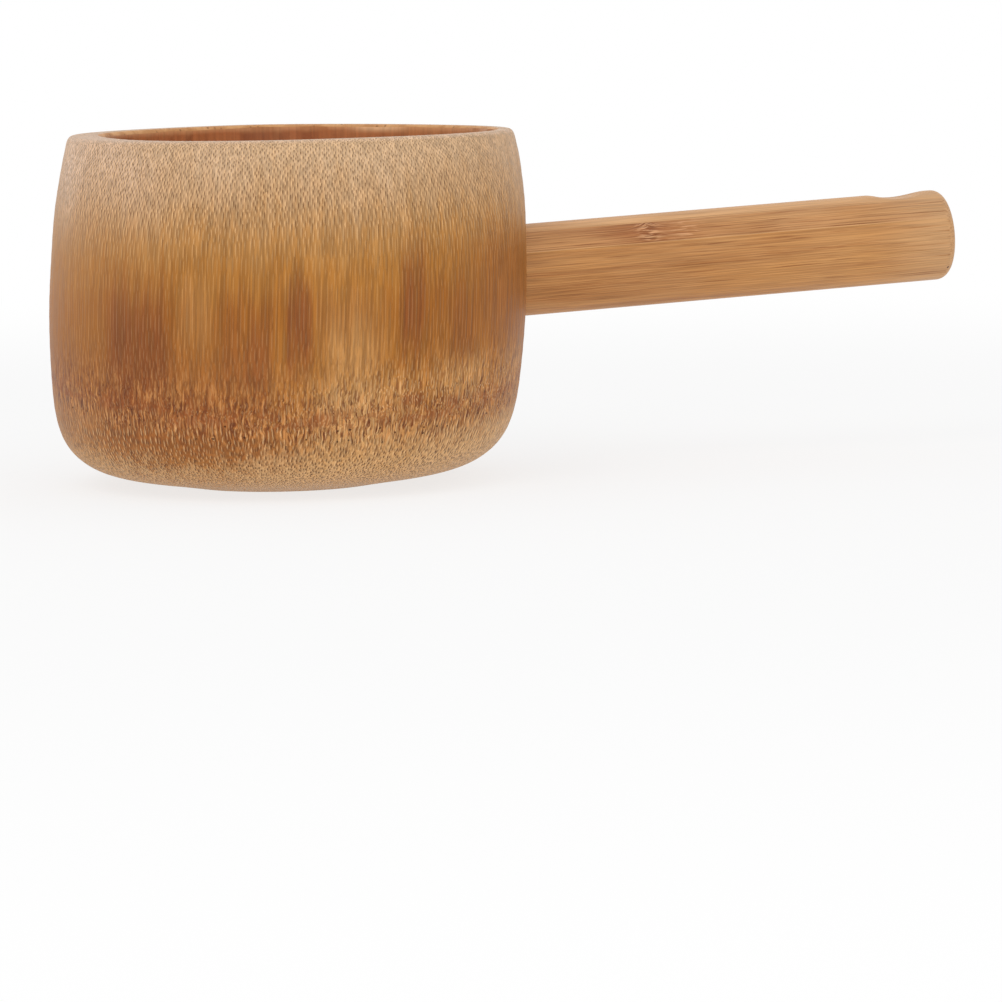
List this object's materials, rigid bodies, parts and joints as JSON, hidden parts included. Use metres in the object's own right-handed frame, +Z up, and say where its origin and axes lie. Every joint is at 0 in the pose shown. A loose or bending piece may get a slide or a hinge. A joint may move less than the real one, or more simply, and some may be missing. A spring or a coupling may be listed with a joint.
{
  "type": "water dipper",
  "caption": "Bamboo water dipper: a cup turned from one culm section, with the node wall as its floor, and a straight round handle glued up from strips and tenoned through the wall.",
  "frame": {"origin": "centre of the cup's flat foot, on the surface that the dipper stands on", "axes": "+Z up, +X from the cup's centre toward the handle's free end, +Y to the back"},
  "size_m": [0.2015, 0.103, 0.0752],
  "materials": {
    "culm_bamboo": "carbonised bamboo, turned and sanded, thin matt oil",
    "strip_bamboo": "carbonised bamboo strip, turned and sanded, thin satin oil",
    "wedge_bamboo": "split bamboo, trimmed flush, matt"
  },
  "bodies": {
    "root": {"cup": "culm_bamboo", "handle_front_strip": "strip_bamboo", "handle_front_core": "strip_bamboo", "handle_back_core": "strip_bamboo", "handle_back_strip": "strip_bamboo", "tenon_wedge": "wedge_bamboo"}
  },
  "joints": []
}
